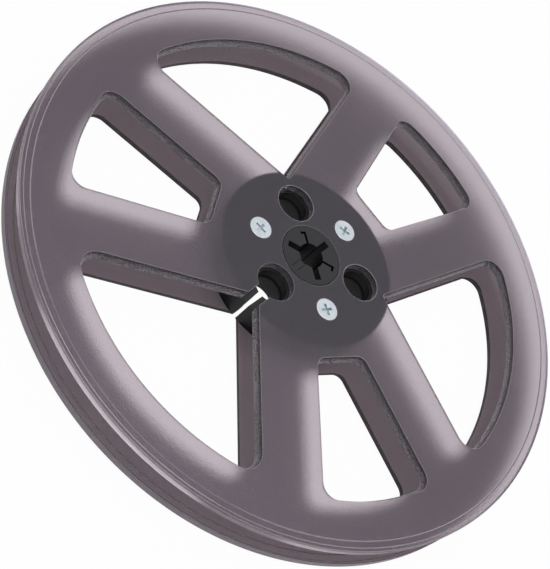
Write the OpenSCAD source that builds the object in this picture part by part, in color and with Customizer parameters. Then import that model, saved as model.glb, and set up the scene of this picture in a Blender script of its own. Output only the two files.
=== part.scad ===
// Open reel for quarter-inch audio tape: two smoked flanges screwed to a black hub core
// Origin on the spindle axis at the face the reel rests on, front flange up

/* [Reel] */
// outside diameter of both flanges
reel_d = 178; // [170:1:190]
// thickness of each flange
flange_t = 2.7; // [2.4:0.1:3.2]
// distance between the flanges, for tape 6.3 wide
tape_gap = 7.9; // [7.4:0.1:9]
// rounding of the outer edges of a flange
rim_round = 0.5; // [0.3:0.1:0.8]
// distance of the fine groove from the rim
groove_inset = 2.9; // [2:0.1:4]
// width of the fine groove
groove_w = 0.7; // [0.4:0.1:1]
// depth of the fine groove
groove_depth = 0.3; // [0.2:0.1:0.5]

/* [Windows] */
// radius of the outer arc of all windows
window_r = 75; // [70:0.5:76]
// half angle between the sides of a small window
small_half_angle = 15; // [12:0.5:18]
// distance of the small window sides from the radial line
small_offset = 0.5; // [0:0.1:1.5]
// distance from the axis to the inner edge of a small window
small_inner = 32.3; // [31:0.1:38]
// width of the spokes
spoke_w = 18.5; // [17:0.5:21]
// corner rounding of the large windows at the outer arc
large_corner = 5.3; // [3:0.1:7]
// corner rounding of the small windows at the outer arc
small_corner = 4.5; // [3:0.1:6]
// corner rounding of the small windows at the inner edge
inner_corner = 3.4; // [2.4:0.1:4]
// rounding at the point of the large windows
point_corner = 1.2; // [1:0.1:2]
// draft of the window walls, how much wider the window is at the outer face
window_flare_w = 0.9; // [0.3:0.1:0.9]

/* [Hub] */
// diameter of the drum the tape is wound on
hub_d = 57.4; // [56.4:0.2:60]
// radius of the circle the screws and holes sit on
pitch_r = 17.4; // [16.8:0.1:18]
// diameter of the three holes in the flanges
hole_d = 11.9; // [11:0.1:12.4]
// diameter of the three holes in the hub core
core_hole_d = 10.2; // [9.6:0.1:10.6]
// inward step at half depth of the hub core holes
core_step_w = 0.4; // [0.2:0.1:0.6]
// width of the threading slot in the flanges
flange_slot_w = 4.8; // [4:0.1:5.5]
// width of the threading slot in the hub core at the drum face
core_slot_w = 1.3; // [1:0.1:1.8]
// width of the threading slot in the hub core at the hole
core_slot_inner_w = 1.9; // [1.9:0.1:2.8]
// radius of the small rib in one flange hole
rib_r = 0.6; // [0.4:0.1:0.8]

/* [Spindle bush] */
// spindle hole
spindle_d = 8; // [7.9:0.05:8.3]
// outside diameter of the bush
bush_d = 19.2; // [18.6:0.1:19.8]
// diameter of the collar under the front flange
collar_d = 22.4; // [21.6:0.1:22.8]
// thickness of the collar
collar_t = 2.2; // [1.5:0.1:3]
// width of the three spline slots
spline_w = 2.1; // [1.8:0.1:2.3]
// outer radius of the spline slots
spline_r = 7.9; // [7.6:0.1:8.2]
// width of the spring slits
slit_w = 0.8; // [0.5:0.1:1]
// length of the bar at the end of a spring slit
slit_bar = 1.9; // [1.4:0.1:2.2]
// depth of the two fine lines and the step on the front of the bush
line_depth = 0.4; // [0.2:0.1:0.6]
// distance from the axis to the end of the step between the lines
step_r = 4.7; // [4.4:0.1:5.2]
// clearance round the bush
bush_clear = 0.1; // [0.05:0.05:0.15]

/* [Screws] */
// head diameter
head_d = 6.9; // [6.6:0.1:7.2]
// shank diameter
shank_d = 3.5; // [3.2:0.1:3.8]
// length of a screw with its head
screw_l = 6.4; // [5.8:0.1:6.5]
// length of the cross recess
recess_l = 3.6; // [3:0.1:4]
// width of the cross recess
recess_w = 0.8; // [0.6:0.1:1]
// depth of the cross recess
recess_depth = 1.2; // [0.8:0.1:1.4]
// clearance round the screws
screw_clear = 0.05; // [0.03:0.01:0.1]

/* [Hidden] */
reel_r = reel_d / 2;
total_t = 2 * flange_t + tape_gap;
hub_r = hub_d / 2;
bush_r = bush_d / 2;
bush_seat_r = bush_r + bush_clear;
collar_r = collar_d / 2;
large_offset = spoke_w - small_offset;
large_half_angle = 60 - small_half_angle;
screw_az = [90, 210, 330];
hole_az = [30, 150, 270];
slot_az = 270;
rib_az = 150;
cut = 1;
head_lip = 0.25;
cone_h = (head_d - shank_d) / 2;
tip_h = 0.6;
step_z = tape_gap * 0.55;
slit_reach = spline_r;
sheet = 0.01;
slot_run = hub_r - pitch_r + 2;
rib_turn = 21;
line_gap = 2.1;
line_over = 0.4;
line_w = 0.25;

function arc(c, r, a0, a1, n) =
    [for (i = [0:n]) let (t = a0 + (a1 - a0) * i / n) c + r * [cos(t), sin(t)]];

// corner centre where a side line meets the outer arc, set in by o, side angle a
function corner_at(o, a, arc_r, c_r, s) =
    let (along = sqrt(pow(arc_r - c_r, 2) - pow(o + c_r, 2)))
    [along * cos(a) + (o + c_r) * sin(a), s * (along * sin(a) - (o + c_r) * cos(a))];

module at_az(az) {
    rotate([0, 0, az])
        children();
}

// large window, middle line along +X, walls moved in by m
module large_outline(m) {
    a = large_half_angle;
    o = large_offset + m;
    arc_r = window_r - m;
    c_r = large_corner - m;
    low = corner_at(o, a, arc_r, c_r, -1);
    high = corner_at(o, a, arc_r, c_r, 1);
    spread = atan2(high[1], high[0]);
    tip = [(o + point_corner) / sin(a), 0];
    polygon(concat(
        arc(low, c_r, -90 - a, -spread, 8),
        arc([0, 0], arc_r, -spread, spread, 32),
        arc(high, c_r, spread, 90 + a, 8),
        arc(tip, point_corner, 90 + a, 270 - a, 6)
    ));
}

// small window, middle line along +X, walls moved in by m
module small_outline(m) {
    a = small_half_angle;
    o = small_offset + m;
    arc_r = window_r - m;
    c_r = small_corner - m;
    i_r = inner_corner - m;
    low = corner_at(o, a, arc_r, c_r, -1);
    high = corner_at(o, a, arc_r, c_r, 1);
    spread = atan2(high[1], high[0]);
    inner_x = small_inner + m + i_r;
    inner_y = (inner_x * sin(a) - o - i_r) / cos(a);
    polygon(concat(
        arc(low, c_r, -90 - a, -spread, 8),
        arc([0, 0], arc_r, -spread, spread, 12),
        arc(high, c_r, spread, 90 + a, 8),
        arc([inner_x, inner_y], i_r, 90 + a, 180, 6),
        arc([inner_x, -inner_y], i_r, 180, 270 - a, 6)
    ));
}

// window cutters, wider at the outer face of the flange
module large_window() {
    hull() {
        translate([0, 0, -cut])
            linear_extrude(sheet)
                large_outline(window_flare_w * (1 + cut / flange_t));
        translate([0, 0, flange_t + cut])
            linear_extrude(sheet)
                large_outline(-window_flare_w * cut / flange_t);
    }
}

module small_window() {
    hull() {
        translate([0, 0, -cut])
            linear_extrude(sheet)
                small_outline(window_flare_w * (1 + cut / flange_t));
        translate([0, 0, flange_t + cut])
            linear_extrude(sheet)
                small_outline(-window_flare_w * cut / flange_t);
    }
}

// plain disc with a rounded rim, a centre hole and the fine groove
module flange_disc() {
    difference() {
        rotate_extrude($fn = 180)
            union() {
                translate([bush_seat_r, 0])
                    square([reel_r - rim_round - bush_seat_r, flange_t]);
                translate([reel_r - rim_round - 1, rim_round])
                    square([1 + rim_round, flange_t - 2 * rim_round]);
                translate([reel_r - rim_round, rim_round])
                    circle(r = rim_round, $fn = 32);
                translate([reel_r - rim_round, flange_t - rim_round])
                    circle(r = rim_round, $fn = 32);
            }
        rotate_extrude($fn = 180)
            translate([reel_r - groove_inset - groove_w / 2, flange_t - groove_depth])
                square([groove_w, groove_depth + cut]);
    }
}

// flange with its inner face on z = 0 and its outer face up
module flange() {
    at_az(rib_az)
        translate([pitch_r, 0, 0])
            rotate([0, 0, rib_turn])
                translate([hole_d / 2, 0, 0])
                    cylinder(r = rib_r, h = flange_t, $fn = 24);
    difference() {
        flange_disc();
        for (az = hole_az)
            at_az(az)
                large_window();
        for (az = screw_az)
            at_az(az)
                small_window();
        for (az = hole_az)
            at_az(az)
                translate([pitch_r, 0, -cut])
                    cylinder(d = hole_d, h = flange_t + 2 * cut, $fn = 64);
        at_az(slot_az)
            translate([pitch_r, -flange_slot_w / 2, -cut])
                cube([slot_run, flange_slot_w, flange_t + 2 * cut]);
        for (az = screw_az)
            at_az(az)
                translate([pitch_r, 0, flange_t])
                    screw_space(flange_t + cut);
    }
}

// room for a screw: shank, cone and lip, head face on z = 0, reaching down by reach
module screw_space(reach) {
    c = screw_clear;
    translate([0, 0, -reach])
        cylinder(d = shank_d + 2 * c, h = reach, $fn = 48);
    translate([0, 0, -head_lip - cone_h])
        cylinder(d1 = shank_d + 2 * c, d2 = head_d + 2 * c, h = cone_h, $fn = 48);
    translate([0, 0, -head_lip])
        cylinder(d = head_d + 2 * c, h = head_lip + cut, $fn = 48);
}

module front_flange() {
    color([0.40, 0.37, 0.41, 0.8])
        translate([0, 0, flange_t + tape_gap])
            flange();
}

module rear_flange() {
    color([0.40, 0.37, 0.41, 0.8])
        translate([0, 0, flange_t])
            mirror([0, 0, 1])
                flange();
}

// drum for the tape, with three stepped holes and the threading slot
module hub_core() {
    color([0.10, 0.10, 0.11])
        translate([0, 0, flange_t])
            difference() {
                cylinder(r = hub_r, h = tape_gap, $fn = 120);
                translate([0, 0, -cut])
                    cylinder(r = bush_seat_r, h = tape_gap + 2 * cut, $fn = 96);
                translate([0, 0, tape_gap - collar_t])
                    cylinder(r = collar_r + bush_clear, h = collar_t + cut, $fn = 96);
                for (az = hole_az)
                    at_az(az)
                        translate([pitch_r, 0, 0])
                            stepped_hole();
                at_az(slot_az)
                    translate([0, 0, -cut])
                        linear_extrude(tape_gap + 2 * cut)
                            polygon([
                                [pitch_r, -core_slot_inner_w / 2],
                                [hub_r, -core_slot_w / 2],
                                [hub_r + cut, -core_slot_w / 2],
                                [hub_r + cut, core_slot_w / 2],
                                [hub_r, core_slot_w / 2],
                                [pitch_r, core_slot_inner_w / 2]
                            ]);
                for (az = screw_az)
                    at_az(az)
                        translate([pitch_r, 0, -cut])
                            cylinder(d = shank_d + 2 * screw_clear, h = tape_gap + 2 * cut, $fn = 48);
            }
}

module stepped_hole() {
    translate([0, 0, -cut])
        cylinder(d = core_hole_d - 2 * core_step_w, h = tape_gap + 2 * cut, $fn = 64);
    translate([0, 0, step_z])
        cylinder(d = core_hole_d, h = tape_gap - step_z + cut, $fn = 64);
}

// slotted insert with the spindle hole, its collar held under the front flange
module spindle_bush() {
    color([0.13, 0.13, 0.14])
        difference() {
            union() {
                cylinder(r = bush_r, h = total_t, $fn = 96);
                translate([0, 0, flange_t + tape_gap - collar_t])
                    cylinder(r = collar_r, h = collar_t, $fn = 96);
            }
            translate([0, 0, -cut])
                cylinder(d = spindle_d, h = total_t + 2 * cut, $fn = 64);
            for (az = screw_az)
                at_az(az)
                    translate([0, -spline_w / 2, -cut])
                        cube([spline_r, spline_w, total_t + 2 * cut]);
            at_az(hole_az[1])
                spring_slit(1);
            at_az(hole_az[0])
                spring_slit(-1);
            at_az(slot_az) {
                for (s = [-1, 1])
                    translate([0, s * line_gap / 2 - line_w / 2, total_t - line_depth])
                        cube([spline_r + line_over, line_w, line_depth + cut]);
                translate([0, -line_gap / 2, total_t - line_depth])
                    cube([step_r, line_gap, line_depth + cut]);
            }
        }
}

// narrow slit with a bar at its end, the bar lies to the side s
module spring_slit(s) {
    translate([0, -slit_w / 2, -cut])
        cube([slit_reach, slit_w, total_t + 2 * cut]);
    translate([slit_reach - slit_w, s > 0 ? -slit_w / 2 : slit_w / 2 - slit_bar, -cut])
        cube([slit_w, slit_bar, total_t + 2 * cut]);
}

// countersunk cross-recess screw, head face on z = 0, shank down
module screw(turn) {
    difference() {
        union() {
            translate([0, 0, -head_lip])
                cylinder(d = head_d, h = head_lip, $fn = 48);
            translate([0, 0, -head_lip - cone_h])
                cylinder(d1 = shank_d, d2 = head_d, h = cone_h, $fn = 48);
            translate([0, 0, tip_h - screw_l])
                cylinder(d = shank_d, h = screw_l - tip_h - head_lip - cone_h, $fn = 48);
            translate([0, 0, -screw_l])
                cylinder(d1 = shank_d - 2 * tip_h, d2 = shank_d, h = tip_h, $fn = 48);
        }
        for (q = [0, 90])
            rotate([0, 0, turn + q])
                translate([-recess_l / 2, -recess_w / 2, -recess_depth])
                    cube([recess_l, recess_w, recess_depth + cut]);
    }
}

module front_screw(i, turn) {
    color([0.78, 0.82, 0.86])
        at_az(screw_az[i])
            translate([pitch_r, 0, total_t])
                screw(turn);
}

module rear_screw(i, turn) {
    color([0.78, 0.82, 0.86])
        at_az(screw_az[i])
            translate([pitch_r, 0, 0])
                mirror([0, 0, 1])
                    screw(turn);
}

front_flange();
rear_flange();
hub_core();
spindle_bush();
front_screw(0, 20);  // front_screw_1
front_screw(1, 65);  // front_screw_2
front_screw(2, 5);  // front_screw_3
rear_screw(0, 35);  // rear_screw_1
rear_screw(1, 10);  // rear_screw_2
rear_screw(2, 70);  // rear_screw_3
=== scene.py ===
import math
from functools import partial
from types import SimpleNamespace

import bpy
import numpy as np
from mathutils import Matrix, Vector
from mathutils.geometry import delaunay_2d_cdt


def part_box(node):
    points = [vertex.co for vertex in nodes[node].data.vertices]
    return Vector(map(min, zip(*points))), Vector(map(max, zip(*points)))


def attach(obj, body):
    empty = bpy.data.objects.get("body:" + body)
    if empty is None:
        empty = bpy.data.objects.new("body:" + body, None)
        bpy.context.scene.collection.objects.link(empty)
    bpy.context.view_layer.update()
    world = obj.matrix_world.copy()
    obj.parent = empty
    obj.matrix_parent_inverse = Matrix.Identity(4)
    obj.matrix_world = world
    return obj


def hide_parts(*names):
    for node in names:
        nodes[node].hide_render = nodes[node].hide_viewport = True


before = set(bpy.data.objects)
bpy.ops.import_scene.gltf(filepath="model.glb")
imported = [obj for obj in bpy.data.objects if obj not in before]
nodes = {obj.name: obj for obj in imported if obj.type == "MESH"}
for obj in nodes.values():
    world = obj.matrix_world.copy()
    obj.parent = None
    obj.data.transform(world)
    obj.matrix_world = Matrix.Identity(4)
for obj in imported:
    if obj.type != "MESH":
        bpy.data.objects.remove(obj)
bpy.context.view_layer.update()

# Overall sizes in metres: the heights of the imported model, and a radius just inside its own
MM = 0.001
FRONT_LOW, FRONT_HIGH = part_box("front_flange")
T_FLANGE = FRONT_HIGH.z - FRONT_LOW.z
TOTAL = FRONT_HIGH.z
REEL_R = 88.99 * MM

# Windows: each straight side runs beside a radius, turned by the half angle and set off by the offset
WINDOW_R = 75.0 * MM
DRAFT = 0.9 * MM
LARGE_HALF = math.radians(45)
LARGE_OFFSET = 18.0 * MM
LARGE_CORNER = 5.3 * MM
POINT_CORNER = 1.2 * MM
SMALL_HALF = math.radians(15)
SMALL_OFFSET = 0.5 * MM
SMALL_CORNER = 4.5 * MM
SMALL_INNER = 32.3 * MM
INNER_CORNER = 3.4 * MM

# Threading slot from the point of one large window into its finger hole
SLOT_W = 4.8 * MM
REAR_SLOT_W = 1.4 * MM
SLOT_CORNER = 1.2 * MM

# Finger holes and screws on the pitch circle, and the small rib in one finger hole
PITCH_R = 17.4 * MM
HOLE_AZ = [math.radians(a) for a in (30, 150, 270)]
SCREW_AZ = [math.radians(a) for a in (90, 210, 330)]
HOLE_R = 5.95 * MM
RIB_R = 0.6 * MM
RIB_AZ = math.radians(171)

# Opening for the bush, and the countersunk seat of a screw head
BUSH_R = 9.7 * MM
BUSH_GAP = 0.15 * MM
SHANK_R = 1.8 * MM
HEAD_R = 3.5 * MM
HEAD_LIP = 0.25 * MM
HEAD_SINK = 1.7 * MM

# Rounding of the edges
WINDOW_EDGE = 0.1 * MM
HOLE_EDGE = 0.2 * MM
BUSH_EDGE = 0.1 * MM
SEAT_EDGE = 0.08 * MM
RIM_EDGE = 0.22 * MM

# Fine turned ridges on the side of the rim
RIDGES = 5
RIDGE_DEPTH = 0.2 * MM
RIM_FOOT = 0.15 * MM

# Fine groove and hairline on the outer face, in mm: radius, reach inwards and outwards, and depth,
# and how wide the floor of each is
GROOVE = (86.1, 0.26, 0.16, 0.4)
HAIRLINE = (87.85, 0.1, 0.1, 0.08)
GROOVE_FLOOR = 0.02

# Turns, and the steps along curves
QUARTER = math.pi / 2
FULL = 2 * math.pi
EDGE_STEPS = 5
RIM_EDGE_STEPS = 6
CORNER_STEPS = 14
TIP_STEPS = 10
SLOT_CORNER_STEPS = 6
LARGE_ARC_STEPS = 96
SMALL_ARC_STEPS = 32
RIM_POINTS = 360
BUSH_POINTS = 96
HOLE_POINTS = 64
RIBBED_POINTS = 60
SLOTTED_POINTS = 48
SEAT_POINTS = 48

# Filling of the level faces: triangles out to the hull, and points nearer than this are one
HULL_TRIANGLES = 0
SAME_POINT = 1e-9

# Where each part of a flange's surface begins, by the upright share of its normal and by its place
FLAT_ABOVE = 0.995
WALL_FULL, WALL_NONE = 0.4, 0.5
RIM_BAND = 0.45 * MM
INNER_BAND = 0.05 * MM

# Smoked plastic: noises as scale, detail and roughness, then the looks of each part
FINE_NOISE = (2600, 2)
GRAIN_NOISE = (2000, 3, 0.7)
BROAD_NOISE = (40, 3)
SMOOTH_ROUGH = 0.04
FROSTED_ROUGH = 0.26
EDGE_ROUGH = 0.2
CUT_ROUGH = 1.0
CUT_ROUGH_INSIDE = 0.1
ROUGH_GRAIN = 0.25
RELIEF_DEPTH = 0.9 * MM
FACE_RELIEF = 0.25
WALL_RELIEF = 0.2
FROSTED = ((0.845, 0.815, 0.995), (0.87, 0.84, 1.0))
CLEAR = ((0.955, 0.775, 0.855), (0.985, 0.805, 0.885))
DUST = ((0.9, 0.9, 0.9), (1.0, 1.0, 1.0))
SPECK = ((0.5, 0.5, 0.5), (1.0, 1.0, 1.0))
SPECK_SPAN = (0.38, 0.62)
EDGE_VIOLET = 0.6
EDGE_SHEEN = 0.9
RIM_SHEEN = 0.13
# the rear flange's walls get a tenth of the front's sheen: painted shade, for the reel's shadow they lie
# in
REAR_SHEEN_PAINTED_SHADE = 0.1
SHEEN_CATCH = (0.42, 0.6, 0.05, 1.0)
SHEEN_SPAN = (TOTAL / 2 - 0.3 * MM, TOTAL / 2 - 1.6 * MM, 0.08, 1.0)
SMOKE_DENSITY = 222.0
SMOKE_COLOUR = (0.238, 0.2055, 0.135, 1)

# Floor and light
FLOOR_HALF = 8
FLOOR_Z = -0.0002
FLOOR_COLOUR = (0.8, 0.8, 0.8, 1)
SHADOW_REACH = 4 * MM
WHITE_SEEN = 0.97
WHITE_MIRRORED = 0.3
WHITE_UNDER, WHITE_PAST = 0.14, 0.9
LAMP_AT = (0.0, 0.05, 1.0)
LAMP_SIZE = 0.6
LAMP_POWER = 3.6
STUDIO_SPAN = 0.9
STUDIO_FRONT, STUDIO_BACK = 0.3, 0.74

# Camera, fitted to the photograph: frame, focal length and image centre in pixels, place and axes
PX_W, PX_H = 550, 569
FOCAL_PX = 1328.4
CENTRE_PX = (299.13, 322.87)
SENSOR_MM = 36.0
CLIP_NEAR, CLIP_FAR = 0.01, 30
CAM_POS = (0.015308, -0.271226, 0.288768)
CAM_RIGHT = (0.627625, 0.578101, 0.521427)
CAM_DOWN = (0.778494, -0.460981, -0.425963)
CAM_AHEAD = (-0.005882, 0.673272, -0.739371)


# Outlines of the flange's openings
def arc(centre, r, start, end, steps):
    t = np.linspace(start, end, steps + 1)
    return np.stack([centre[0] + r * np.cos(t), centre[1] + r * np.sin(t)], 1)


def turned(points, az):
    c, s = math.cos(az), math.sin(az)
    return np.stack([points[:, 0] * c - points[:, 1] * s, points[:, 0] * s + points[:, 1] * c], 1)


def round_loop(r, centre=(0.0, 0.0), points=HOLE_POINTS):
    return arc(centre, r, 0, FULL, points)[:-1]


def corner_centre(half, offset, arc_r, corner_r, side):
    """Centre of the round corner between a window's straight side and its outer arc."""
    out = offset + corner_r
    along = math.sqrt((arc_r - corner_r) ** 2 - out ** 2)
    return (along * math.cos(half) + out * math.sin(half),
            side * (along * math.sin(half) - out * math.cos(half)))


def outer_end(half, offset, arc_r, corner_r, steps):
    """The outer end of a window: the arc near the rim and a round corner at each side of it."""
    low = corner_centre(half, offset, arc_r, corner_r, -1)
    high = corner_centre(half, offset, arc_r, corner_r, 1)
    reach = math.atan2(high[1], high[0])
    return [arc(low, corner_r, -QUARTER - half, -reach, CORNER_STEPS),
            arc((0, 0), arc_r, -reach, reach, steps)[1:-1],
            arc(high, corner_r, reach, QUARTER + half, CORNER_STEPS)]


def slot_and_hole(offset, slot_w, edge):
    """The slot from a large window's point into its finger hole, with rounded outer corners."""
    half_w, hole_r, corner_r = slot_w / 2 + edge, HOLE_R + edge, SLOT_CORNER - edge
    neck = (offset + half_w * math.cos(LARGE_HALF)) / math.sin(LARGE_HALF)
    neck -= corner_r * math.tan(LARGE_HALF / 2)
    mouth = math.asin(half_w / hole_r)
    return [arc((neck, half_w + corner_r), corner_r, LARGE_HALF - QUARTER, -QUARTER, SLOT_CORNER_STEPS),
            arc((PITCH_R, 0), hole_r, mouth, FULL - mouth, SLOTTED_POINTS),
            arc((neck, -half_w - corner_r), corner_r, QUARTER, QUARTER - LARGE_HALF, SLOT_CORNER_STEPS)]


def large_loop(draft, edge, az, slot_w=None):
    """A large window, set in by the draft of its wall and widened by the rounding of its edge."""
    offset, corner_r = LARGE_OFFSET + draft - edge, LARGE_CORNER - draft + edge
    parts = outer_end(LARGE_HALF, offset, WINDOW_R - draft + edge, corner_r, LARGE_ARC_STEPS)
    if slot_w:
        parts += slot_and_hole(offset, slot_w, edge)
    else:
        point = ((offset + POINT_CORNER) / math.sin(LARGE_HALF), 0)
        parts.append(arc(point, POINT_CORNER, QUARTER + LARGE_HALF, 3 * QUARTER - LARGE_HALF, TIP_STEPS))
    return turned(np.concatenate(parts), az)


def small_loop(draft, edge, az):
    """A small window, set in and widened in the same way."""
    inset = draft - edge
    half, offset, inner_r = SMALL_HALF, SMALL_OFFSET + inset, INNER_CORNER - inset
    parts = outer_end(half, offset, WINDOW_R - inset, SMALL_CORNER - inset, SMALL_ARC_STEPS)
    x = SMALL_INNER + inset + inner_r
    y = (x * math.sin(half) - offset - inner_r) / math.cos(half)
    parts.append(arc((x, y), inner_r, QUARTER + half, 2 * QUARTER, TIP_STEPS))
    parts.append(arc((x, -y), inner_r, 2 * QUARTER, 3 * QUARTER - half, TIP_STEPS))
    return turned(np.concatenate(parts), az)


def round_hole(_draft, edge, r, centre=(0.0, 0.0), points=HOLE_POINTS):
    return round_loop(r + edge, centre, points)


def ribbed_hole(_draft, edge, centre):
    """A finger hole with a small half-round rib on its wall."""
    r, rib_r = HOLE_R + edge, RIB_R - edge
    half = math.acos((r * r + HOLE_R ** 2 - rib_r * rib_r) / (2 * r * HOLE_R))
    rest = arc(centre, r, RIB_AZ + half, RIB_AZ + FULL - half, RIBBED_POINTS)
    rib = np.array(centre) + HOLE_R * np.array([math.cos(RIB_AZ), math.sin(RIB_AZ)])
    start, end = (math.atan2(y, x) for x, y in (rest[-1] - rib, rest[0] - rib))
    while end > start:
        end -= FULL
    return np.concatenate([rest, arc(rib, rib_r, start, end, TIP_STEPS)[1:-1]])


# Steps up a wall, from the inner face to the outer one: height, draft and rounding of the edge
def wall_steps(draft, edge_r):
    steps = []
    for k in range(EDGE_STEPS + 1):
        b = QUARTER * k / EDGE_STEPS
        steps.append((edge_r - edge_r * math.cos(b), edge_r - edge_r * math.sin(b)))
    for k in range(EDGE_STEPS + 1):
        b = QUARTER * k / EDGE_STEPS
        steps.append((T_FLANGE - edge_r + edge_r * math.sin(b), edge_r - edge_r * math.cos(b)))
    return [(z, draft * (1 - z / T_FLANGE), e) for z, e in steps]


def seat_steps():
    """The shank's hole, which opens into the cone and the short lip round a screw head."""
    head = HEAD_R - SHANK_R
    heights = ((0.0, 0.0), (T_FLANGE - HEAD_LIP - HEAD_SINK, 0.0), (T_FLANGE - HEAD_LIP, head),
               (T_FLANGE - SEAT_EDGE, head), (T_FLANGE, head + SEAT_EDGE))
    return [(z, 0.0, e) for z, e in heights]


def rim_steps():
    """The side of the rim, with its turned ridges and its rounded outer edge: height and depth."""
    top = T_FLANGE - RIM_EDGE
    pitch = (top - RIM_FOOT) / RIDGES
    bend = RIM_FOOT * 0.3
    steps = [(0.0, RIM_FOOT), (bend, bend)]
    for k in range(RIDGES):
        z = RIM_FOOT + k * pitch
        steps += [(z, RIDGE_DEPTH), (z + pitch / 2, 0.0)]
    steps.append((top, RIDGE_DEPTH * 0.5))
    for k in range(1, RIM_EDGE_STEPS + 1):
        b = QUARTER / RIM_EDGE_STEPS * k
        steps.append((top + RIM_EDGE * math.sin(b), RIM_EDGE - RIM_EDGE * math.cos(b)))
    return steps


def groove_steps(r, inner, outer, depth):
    """A groove in the outer face: radius and height."""
    low = T_FLANGE - depth * MM
    return [((r - inner) * MM, T_FLANGE), (r * MM, low), ((r + GROOVE_FLOOR) * MM, low),
            ((r + outer) * MM, T_FLANGE)]


def openings(slot_w):
    """Each opening of a flange, as its outline at a given draft and rounding and the steps of its wall."""
    drafted = wall_steps(DRAFT, WINDOW_EDGE)
    straight = wall_steps(0.0, HOLE_EDGE)
    seat = seat_steps()
    on_pitch = [(PITCH_R * math.cos(a), PITCH_R * math.sin(a)) for a in HOLE_AZ + SCREW_AZ]
    found = [(partial(large_loop, az=az), drafted) for az in HOLE_AZ[:2]]
    found.append((partial(large_loop, az=HOLE_AZ[2], slot_w=slot_w), drafted))
    found += [(partial(small_loop, az=az), drafted) for az in SCREW_AZ]
    found.append((partial(round_hole, r=HOLE_R, centre=on_pitch[0]), straight))
    found.append((partial(ribbed_hole, centre=on_pitch[1]), straight))
    bush = partial(round_hole, r=BUSH_R + BUSH_GAP, points=BUSH_POINTS)
    found.append((bush, wall_steps(0.0, BUSH_EDGE)))
    for centre in on_pitch[3:]:
        found.append((partial(round_hole, r=SHANK_R, centre=centre, points=SEAT_POINTS), seat))
    return found


# Flange meshes
def inside(points, loops):
    """Which of the points lie inside an odd number of the closed loops."""
    found = np.zeros(len(points), bool)
    for loop in loops:
        for (x0, y0), (x1, y1) in zip(loop, np.roll(loop, -1, axis=0)):
            if y0 == y1:
                continue
            spans = (points[:, 1] >= y0) != (points[:, 1] >= y1)
            crossing = x0 + (points[:, 1] - y0) / (y1 - y0) * (x1 - x0)
            found ^= spans & (points[:, 0] < crossing)
    return found


class Shell:
    """The points and faces of one mesh, built from level rings of points."""

    def __init__(self):
        self.points, self.faces, self.smooth = [], [], []

    def rings(self, levels):
        """Adds a ring for each loop and height, and gives each ring's first point and its length."""
        added = []
        for loop, z in levels:
            added.append((len(self.points), len(loop)))
            self.points.extend((x, y, z) for x, y in loop)
        return added

    def wall(self, rings, smooth=False, outwards=False):
        """Faces from ring to ring, which look into the opening or outwards."""
        for (low, n), (high, _) in zip(rings, rings[1:]):
            for k in range(n):
                j = (k + 1) % n
                face = (low + k, high + k, high + j, low + j)
                self.faces.append(face[::-1] if outwards else face)
                self.smooth.append(smooth)

    def cap(self, rings, up):
        """A level face inside the outermost ring, left open inside the others."""
        index, edges = [], []
        for first, n in rings:
            start = len(index)
            index.extend(range(first, first + n))
            edges.extend((start + k, start + (k + 1) % n) for k in range(n))
        level = [Vector(self.points[i][:2]) for i in index]
        corners, _, triangles, origin, _, _ = delaunay_2d_cdt(level, edges, [], HULL_TRIANGLES, SAME_POINT)
        back = [index[o[0]] for o in origin]
        corners = np.array([[v.x, v.y] for v in corners])
        middles = np.array([corners[list(t)].mean(0) for t in triangles])
        loops = [np.array([self.points[i][:2] for i in range(first, first + n)]) for first, n in rings]
        for triangle, keep in zip(triangles, inside(middles, loops)):
            if not keep:
                continue
            a, b, c = corners[list(triangle)]
            turn = (b[0] - a[0]) * (c[1] - a[1]) - (c[0] - a[0]) * (b[1] - a[1])
            face = [back[i] for i in triangle]
            self.faces.append(face if (turn > 0) == up else face[::-1])
            self.smooth.append(False)

    def mesh(self, name):
        mesh = bpy.data.meshes.new(name)
        mesh.from_pydata(self.points, [], self.faces)
        mesh.validate()
        mesh.polygons.foreach_set("use_smooth", self.smooth)
        mesh.update()
        return mesh


def flange_mesh(name, slot_w):
    """A flange with its inner face on z = 0 and its outer face at z = T_FLANGE."""
    shell = Shell()
    low_rings, high_rings = [], []
    for outline, steps in openings(slot_w):
        rings = shell.rings((outline(draft, edge), z) for z, draft, edge in steps)
        shell.wall(rings, smooth=True)
        low_rings.append(rings[0])
        high_rings.append(rings[-1])
    rim = shell.rings((round_loop(REEL_R - depth, points=RIM_POINTS), z) for z, depth in rim_steps())
    shell.wall(rim, outwards=True)
    cuts = []
    for sizes in (GROOVE, HAIRLINE):
        cuts.append(shell.rings((round_loop(r, points=RIM_POINTS), z) for r, z in groove_steps(*sizes)))
        shell.wall(cuts[-1])
    groove, hairline = cuts
    shell.cap(low_rings + [rim[0]], up=False)
    shell.cap(high_rings + [groove[0]], up=True)
    shell.cap([groove[-1], hairline[0]], up=True)
    shell.cap([hairline[-1], rim[-1]], up=True)
    return shell.mesh(name)


def linked(name, data):
    o = bpy.data.objects.new(name, data)
    bpy.context.scene.collection.objects.link(o)
    return o


def add_flange(name, slot_w, matrix, mirrored=False):
    mesh = flange_mesh(name, slot_w)
    mesh.transform(matrix)
    if mirrored:
        mesh.flip_normals()
    return linked(name, mesh)


# Short calls for the nodes of a material
def material(name):
    m = bpy.data.materials.new(name)
    m.use_nodes = True
    return m, m.node_tree, m.node_tree.nodes["Principled BSDF"]


def feed(nt, socket, value):
    """Links a socket to another one's output, or sets its number or colour."""
    if isinstance(value, bpy.types.NodeSocket):
        nt.links.new(value, socket)
    else:
        socket.default_value = value


def node(nt, kind, inputs=None, **settings):
    n = nt.nodes.new(kind)
    for key, value in settings.items():
        setattr(n, key, value)
    for key, value in (inputs or {}).items():
        feed(nt, n.inputs[key], value)
    return n


def object_place(nt):
    return node(nt, "ShaderNodeTexCoord").outputs["Object"]


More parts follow.
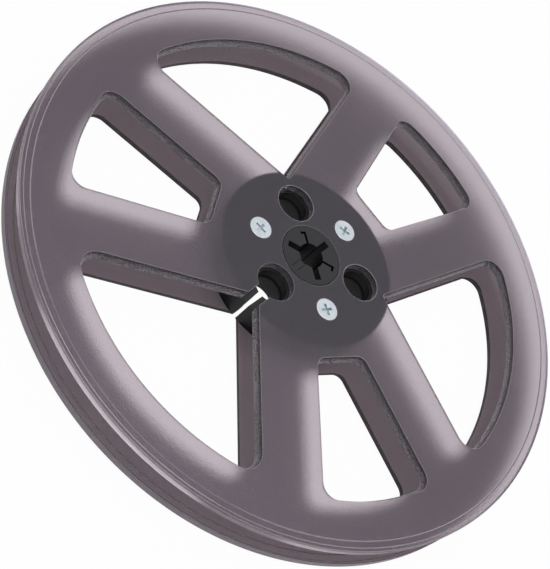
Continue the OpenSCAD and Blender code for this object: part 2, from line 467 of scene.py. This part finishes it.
def noise(nt, place, scale, detail, rough=0.55):
    inputs = {"Vector": place, "Scale": scale, "Detail": detail, "Roughness": rough}
    return node(nt, "ShaderNodeTexNoise", inputs).outputs["Fac"]


def ramp(nt, value, dark, light, low=0.3, high=0.7):
    """A colour that goes from dark to light as the value goes from low to high."""
    r = node(nt, "ShaderNodeValToRGB", {"Fac": value})
    for stop, position, colour in zip(r.color_ramp.elements, (low, high), (dark, light)):
        stop.position = position
        stop.color = (*colour, 1)
    return r.outputs["Color"]


def spread(nt, value, low, high, out_low, out_high):
    """Takes a value from one span to another, held at the ends."""
    inputs = {"Value": value, "From Min": low, "From Max": high, "To Min": out_low, "To Max": out_high}
    return node(nt, "ShaderNodeMapRange", inputs).outputs["Result"]


def maths(nt, operation, *values, clamp=False):
    n = node(nt, "ShaderNodeMath", dict(enumerate(values)), operation=operation, use_clamp=clamp)
    return n.outputs[0]


def product(nt, first, *others):
    for value in others:
        first = maths(nt, "MULTIPLY", first, value)
    return first


def opposite(nt, share):
    return maths(nt, "SUBTRACT", 1.0, share)


def above(nt, value, limit):
    return maths(nt, "GREATER_THAN", value, limit)


def blend(nt, share, a, b):
    """a where the share is 0, b where it is 1."""
    return maths(nt, "MULTIPLY_ADD", share, maths(nt, "SUBTRACT", b, a), a)


def colours(nt, share, a, b, how):
    n = node(nt, "ShaderNodeMix", data_type="RGBA", blend_type=how)
    for socket, value in ((0, share), (6, a), (7, b)):
        feed(nt, n.inputs[socket], value)
    return n.outputs[2]


# Smoked plastic of the flanges
def flange_masks(nt, place):
    """Shares that are 1 on one part of a flange and 0 elsewhere, and the height from the middle."""
    geometry = node(nt, "ShaderNodeNewGeometry")
    normal = node(nt, "ShaderNodeSeparateXYZ", {0: geometry.outputs["True Normal"]})
    at = node(nt, "ShaderNodeSeparateXYZ", {0: place})
    x, y, z = (at.outputs[axis] for axis in "XYZ")
    tilt = maths(nt, "ABSOLUTE", normal.outputs["Z"])
    radius = maths(nt, "SQRT", maths(nt, "MULTIPLY_ADD", y, y, product(nt, x, x)))
    level = maths(nt, "ABSOLUTE", maths(nt, "SUBTRACT", z, TOTAL / 2))
    return SimpleNamespace(
        flat=above(nt, tilt, FLAT_ABOVE),
        wall=spread(nt, tilt, WALL_FULL, WALL_NONE, 1.0, 0.0),
        rim=above(nt, radius, REEL_R - RIM_BAND),
        outer=above(nt, level, TOTAL / 2 - T_FLANGE + INNER_BAND),
        front=above(nt, z, TOTAL / 2),
        outside=opposite(nt, geometry.outputs["Backfacing"]),
        level=level)


def smoked_roughness(nt, on, fine):
    """The outer faces are frosted, the inner ones smooth, and the walls rough as cut."""
    face = blend(nt, on.outer, SMOOTH_ROUGH, FROSTED_ROUGH)
    # light that runs inside the plastic is turned back by the walls as by smooth ones
    wall = blend(nt, on.outside, CUT_ROUGH_INSIDE, CUT_ROUGH)
    rough = blend(nt, on.flat, blend(nt, on.wall, EDGE_ROUGH, wall), face)
    return maths(nt, "MULTIPLY_ADD", product(nt, fine, rough), ROUGH_GRAIN, rough)


def smoked_colour(nt, on, place, fine, grain):
    """The frosted faces look violet where they scatter light, and the smooth ones look maroon."""
    broad = noise(nt, place, *BROAD_NOISE)
    skin = product(nt, on.outer, blend(nt, on.flat, EDGE_VIOLET, 1.0))
    cut = product(nt, on.wall, on.outside, opposite(nt, on.rim))
    tint = colours(nt, skin, ramp(nt, broad, *CLEAR), ramp(nt, broad, *FROSTED), "MIX")
    tint = colours(nt, on.outer, tint, ramp(nt, grain, *DUST), "MULTIPLY")
    return colours(nt, cut, tint, ramp(nt, fine, *SPECK, *SPECK_SPAN), "MULTIPLY")


def smoked_relief(nt, on, fine, grain):
    strength = blend(nt, on.wall, product(nt, on.outer, on.flat, FACE_RELIEF), WALL_RELIEF)
    height = blend(nt, on.outer, fine, grain)
    inputs = {"Strength": strength, "Distance": RELIEF_DEPTH, "Height": height}
    return node(nt, "ShaderNodeBump", inputs).outputs["Normal"]


def smoked_sheen(nt, on, fine):
    """The rough cut walls and the rounded edges catch light as a frosted grain, and a lower sheen on the
    rear flange's walls paints shade on them.
    """
    catch = spread(nt, fine, *SHEEN_CATCH)
    deep = spread(nt, on.level, *SHEEN_SPAN)
    # the rear flange's walls get less sheen than the front's: painted shade
    walls = product(nt, catch, product(nt, deep, blend(nt, on.front, REAR_SHEEN_PAINTED_SHADE, 1.0)))
    edges = product(nt, on.outer, opposite(nt, on.flat), EDGE_SHEEN)
    weight = blend(nt, on.wall, edges, walls)
    weight = blend(nt, product(nt, on.wall, on.rim), weight, RIM_SHEEN)
    return product(nt, weight, on.outside)


def smoked_plastic():
    m, nt, shader = material("smoked_plastic")
    place = object_place(nt)
    on = flange_masks(nt, place)
    fine = noise(nt, place, *FINE_NOISE)
    grain = noise(nt, place, *GRAIN_NOISE)
    looks = {
        "IOR": 1.5,
        "Specular Tint": (1.0, 0.88, 1.0, 1),
        "Transmission Weight": 0.96,
        "Sheen Roughness": 0.9,
        "Sheen Tint": (1.0, 0.92, 0.99, 1),
        "Roughness": smoked_roughness(nt, on, fine),
        "Base Color": smoked_colour(nt, on, place, fine, grain),
        "Normal": smoked_relief(nt, on, fine, grain),
        "Sheen Weight": smoked_sheen(nt, on, fine)}
    for key, value in looks.items():
        feed(nt, shader.inputs[key], value)
    smoke = node(nt, "ShaderNodeVolumeAbsorption", {"Density": SMOKE_DENSITY, "Color": SMOKE_COLOUR})
    feed(nt, nt.nodes["Material Output"].inputs["Volume"], smoke.outputs["Volume"])
    return m


# Solid finishes of the hub, bush and screws
def solid_finish(name, dark, light, broad, fine, rough, bevel_r, relief, metallic=0.0):
    """Colour varies with a broad noise, roughness and relief with a fine one, as (scale, detail)."""
    m, nt, shader = material(name)
    place = object_place(nt)
    fine = noise(nt, place, *fine)
    bevel = node(nt, "ShaderNodeBevel", {"Radius": bevel_r}, samples=4)
    bump = node(nt, "ShaderNodeBump", {
        "Strength": 0.3, "Distance": relief, "Height": fine, "Normal": bevel.outputs["Normal"]})
    looks = {
        "Metallic": metallic,
        "Base Color": ramp(nt, noise(nt, place, *broad), dark, light),
        "Roughness": spread(nt, fine, 0.0, 1.0, *rough),
        "Normal": bump.outputs["Normal"]}
    for key, value in looks.items():
        feed(nt, shader.inputs[key], value)
    return m


def black_plastic(name, base, rough, scale):
    dark = [c * 0.85 for c in base]
    light = [c * 1.2 for c in base]
    return solid_finish(name, dark, light, broad=(60, 4), fine=(scale, 3), rough=rough,
                        bevel_r=0.15 * MM, relief=0.03 * MM)


def zinc(name):
    dark, light = (0.70, 0.77, 0.83), (0.84, 0.90, 0.94)
    return solid_finish(name, dark, light, broad=(500, 3), fine=(2400, 4), rough=(0.22, 0.45),
                        bevel_r=0.2 * MM, relief=0.04 * MM, metallic=1.0)


def dress(name, finish):
    for slot in nodes[name].material_slots:
        slot.material = finish


# Floor: lit as a white table, and white where the camera sees it past the shadow
def floor_share(nt):
    """How much of the floor's plain white shows, by the kind of ray that meets it."""
    path = node(nt, "ShaderNodeLightPath")
    kinds = ("Camera", "Glossy", "Transmission")
    camera, glossy, through = (path.outputs[f"Is {kind} Ray"] for kind in kinds)
    # seen through the plastic the floor is as white as beside the reel, but close under
    # the rear flange it keeps the reel's shadow
    far = above(nt, path.outputs["Ray Length"], SHADOW_REACH)
    past = product(nt, through, blend(nt, far, WHITE_UNDER, WHITE_PAST))
    seen = maths(nt, "MULTIPLY_ADD", camera, WHITE_SEEN, past)
    mirrored = product(nt, glossy, opposite(nt, through))
    return maths(nt, "MULTIPLY_ADD", mirrored, WHITE_MIRRORED, seen, clamp=True)


def add_floor():
    mesh = bpy.data.meshes.new("floor")
    h = FLOOR_HALF
    mesh.from_pydata([(-h, -h, 0), (h, -h, 0), (h, h, 0), (-h, h, 0)], [], [(0, 1, 2, 3)])
    floor = linked("floor", mesh)
    floor.location.z = FLOOR_Z
    m, nt, _ = material("floor_white")
    nt.nodes.clear()
    diffuse = node(nt, "ShaderNodeBsdfDiffuse", {"Color": FLOOR_COLOUR})
    glow = node(nt, "ShaderNodeEmission", {"Color": (1, 1, 1, 1), "Strength": 1.0})
    mixed = node(nt, "ShaderNodeMixShader", {
        0: floor_share(nt), 1: diffuse.outputs["BSDF"], 2: glow.outputs["Emission"]})
    node(nt, "ShaderNodeOutputMaterial", {"Surface": mixed.outputs["Shader"]})
    mesh.materials.append(m)


# World and lamp: a soft studio, somewhat lighter behind the reel than in front of it
def add_light():
    world = bpy.data.worlds.new("studio")
    bpy.context.scene.world = world
    world.use_nodes = True
    nt = world.node_tree
    way = node(nt, "ShaderNodeSeparateXYZ", {0: node(nt, "ShaderNodeTexCoord").outputs["Generated"]})
    background = nt.nodes["Background"]
    feed(nt, background.inputs["Color"], (1, 1, 1, 1))
    strength = spread(nt, way.outputs["Y"], -STUDIO_SPAN, STUDIO_SPAN, STUDIO_FRONT, STUDIO_BACK)
    feed(nt, background.inputs["Strength"], strength)
    light = bpy.data.lights.new("lamp_top", "AREA")
    light.shape = "DISK"
    light.size = LAMP_SIZE
    light.energy = LAMP_POWER
    lamp = linked("lamp_top", light)
    lamp.location = LAMP_AT
    lamp.rotation_euler = (-Vector(LAMP_AT)).to_track_quat("-Z", "Y").to_euler()


# Camera at the photograph's viewing angle
def add_camera():
    data = bpy.data.cameras.new("camera")
    data.sensor_fit = "HORIZONTAL"
    data.sensor_width = SENSOR_MM
    data.lens = FOCAL_PX / PX_W * SENSOR_MM
    data.shift_x = (PX_W / 2 - CENTRE_PX[0]) / PX_W
    data.shift_y = (CENTRE_PX[1] - PX_H / 2) / PX_W
    data.clip_start = CLIP_NEAR
    data.clip_end = CLIP_FAR
    camera = linked("camera", data)
    axes = Matrix((CAM_RIGHT, -Vector(CAM_DOWN), -Vector(CAM_AHEAD))).transposed().to_4x4()
    camera.matrix_world = Matrix.Translation(CAM_POS) @ axes
    bpy.context.scene.camera = camera


# Flanges
smoked = smoked_plastic()
front = add_flange("front_flange_smoked", SLOT_W, Matrix.Translation((0, 0, TOTAL - T_FLANGE)))
rear = add_flange("rear_flange_smoked", REAR_SLOT_W,
                  Matrix.Translation((0, 0, T_FLANGE)) @ Matrix.Scale(-1, 4, (0, 0, 1)), mirrored=True)
for piece, cad in ((front, "front_flange"), (rear, "rear_flange")):
    piece.data.materials.append(smoked)
    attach(piece, "root")
    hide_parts(cad)

# Finishes of the solids
hub_black = black_plastic("black_plastic", base=(0.005, 0.005, 0.006), rough=(0.42, 0.6), scale=3000)
bush_black = black_plastic("bush_plastic", base=(0.0105, 0.009, 0.0125), rough=(0.38, 0.55), scale=3600)
screw_zinc = zinc("zinc_screw")
dress("hub_core", hub_black)
dress("spindle_bush", bush_black)
for i in (1, 2, 3):
    dress(f"front_screw_{i}", screw_zinc)
    dress(f"rear_screw_{i}", screw_zinc)

add_floor()
add_light()
add_camera()
bpy.context.scene.view_settings.view_transform = "Standard"
